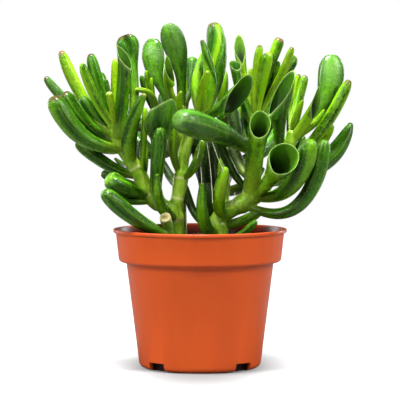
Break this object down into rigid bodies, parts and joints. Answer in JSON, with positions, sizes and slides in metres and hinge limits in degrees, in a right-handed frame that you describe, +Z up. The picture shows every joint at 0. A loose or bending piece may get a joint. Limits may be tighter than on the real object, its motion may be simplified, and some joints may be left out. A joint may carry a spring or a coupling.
{
  "type": "potted jade plant",
  "caption": "Potted jade plant: plump finger, spoon and trumpet-tipped leaves on short branching stems, in a round tapered plastic nursery pot.",
  "frame": {"origin": "middle of the pot's flat underside, on the surface that it stands on", "axes": "+Z up along the pot's axis, +X to the right and -Y toward the viewer as the picture shows the plant"},
  "size_m": [0.2129, 0.1409, 0.2386],
  "materials": {
    "pot_plastic": "satin",
    "potting_mix": "rough",
    "green_stem": "satin",
    "old_stem": "matte",
    "leaf": "gloss"
  },
  "bodies": {
    "root": {"pot": "pot_plastic", "soil": "potting_mix", "branch_back_left": "green_stem", "branch_left": "green_stem", "branch_middle": "green_stem", "branch_right": "green_stem", "cut_stub": "old_stem", "trunk_back_left": "green_stem", "trunk_back_right": "green_stem", "trunk_front": "green_stem", "trunk_right": "green_stem", "branch_back_left_leaf_1": "leaf", "branch_back_left_leaf_2": "leaf", "branch_back_left_leaf_3": "leaf", "branch_left_leaf_1": "leaf", "branch_left_leaf_10": "leaf", "branch_left_leaf_11": "leaf", "branch_left_leaf_12": "leaf", "branch_left_leaf_2": "leaf", "branch_left_leaf_3": "leaf", "branch_left_leaf_4": "leaf", "branch_left_leaf_5": "leaf", "branch_left_leaf_6": "leaf", "branch_left_leaf_7": "leaf", "branch_left_leaf_8": "leaf", "branch_left_leaf_9": "leaf", "branch_middle_leaf_1": "leaf", "branch_middle_leaf_2": "leaf", "branch_middle_leaf_3": "leaf", "branch_middle_leaf_4": "leaf", "branch_middle_leaf_5": "leaf", "branch_middle_leaf_6": "leaf", "branch_middle_leaf_7": "leaf", "branch_middle_leaf_8": "leaf", "branch_right_leaf_1": "leaf", "branch_right_leaf_2": "leaf", "branch_right_leaf_3": "leaf", "branch_right_leaf_4": "leaf", "branch_right_leaf_5": "leaf", "branch_right_leaf_6": "leaf", "branch_right_leaf_7": "leaf", "cut_stub_leaf_1": "leaf", "trunk_back_left_leaf_1": "leaf", "trunk_back_left_leaf_2": "leaf", "trunk_back_left_leaf_3": "leaf", "trunk_back_left_leaf_4": "leaf", "trunk_back_right_leaf_1": "leaf", "trunk_back_right_leaf_2": "leaf", "trunk_back_right_leaf_3": "leaf", "trunk_back_right_leaf_4": "leaf", "trunk_back_right_leaf_5": "leaf", "trunk_front_leaf_1": "leaf", "trunk_front_leaf_2": "leaf", "trunk_front_leaf_3": "leaf", "trunk_front_leaf_4": "leaf", "trunk_front_leaf_5": "leaf", "trunk_front_leaf_6": "leaf", "trunk_right_leaf_1": "leaf", "trunk_right_leaf_2": "leaf", "trunk_right_leaf_3": "leaf"}
  },
  "joints": []
}
